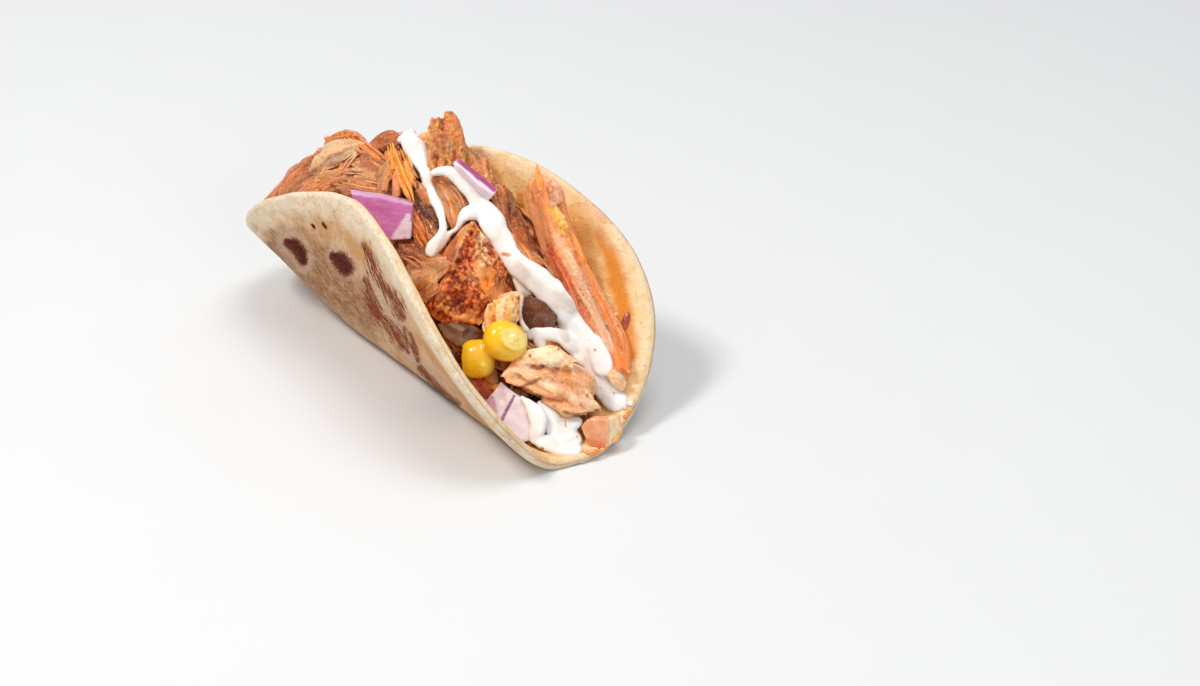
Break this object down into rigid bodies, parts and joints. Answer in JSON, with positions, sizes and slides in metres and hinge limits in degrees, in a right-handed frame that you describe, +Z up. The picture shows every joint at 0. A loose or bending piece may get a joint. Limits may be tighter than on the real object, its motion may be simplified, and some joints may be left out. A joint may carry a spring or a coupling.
{
  "type": "soft taco",
  "caption": "Soft flour tortilla folded round a heap of pulled meat with sweetcorn, red onion, tomato and thick white sauce; stands on a flat spot of its fold.",
  "frame": {"origin": "on the floor under the middle of the bounding box", "axes": "+X along the fold to the open near end, where the filling is lowest; +Y across the fold to the right wall; +Z up"},
  "size_m": [0.1526, 0.082, 0.0809],
  "materials": {
    "tortilla": "soft matte flour dough with browned spots",
    "meat": "moist cooked meat fibres, satin",
    "sauce": "smooth glossy white sauce",
    "corn": "smooth glossy kernel skin",
    "onion": "crisp moist onion layers, satin",
    "tomato": "moist cut flesh, glossy",
    "slice": "smooth moist slice, satin"
  },
  "bodies": {
    "root": {"tortilla": "tortilla", "pulled_meat": "meat", "chunk_crusted": "meat", "chunk_cream": "meat", "chunk_low": "meat", "chunk_peak": "meat", "chunk_far": "meat", "strip_long": "meat", "sauce_runs": "sauce", "sauce_pool": "sauce", "corn_kernel_round": "corn", "corn_kernel_cut": "corn", "onion_magenta": "onion", "onion_pink": "onion", "onion_pale": "onion", "tomato_cube": "tomato", "tomato_piece": "tomato", "brown_slice": "slice"}
  },
  "joints": []
}
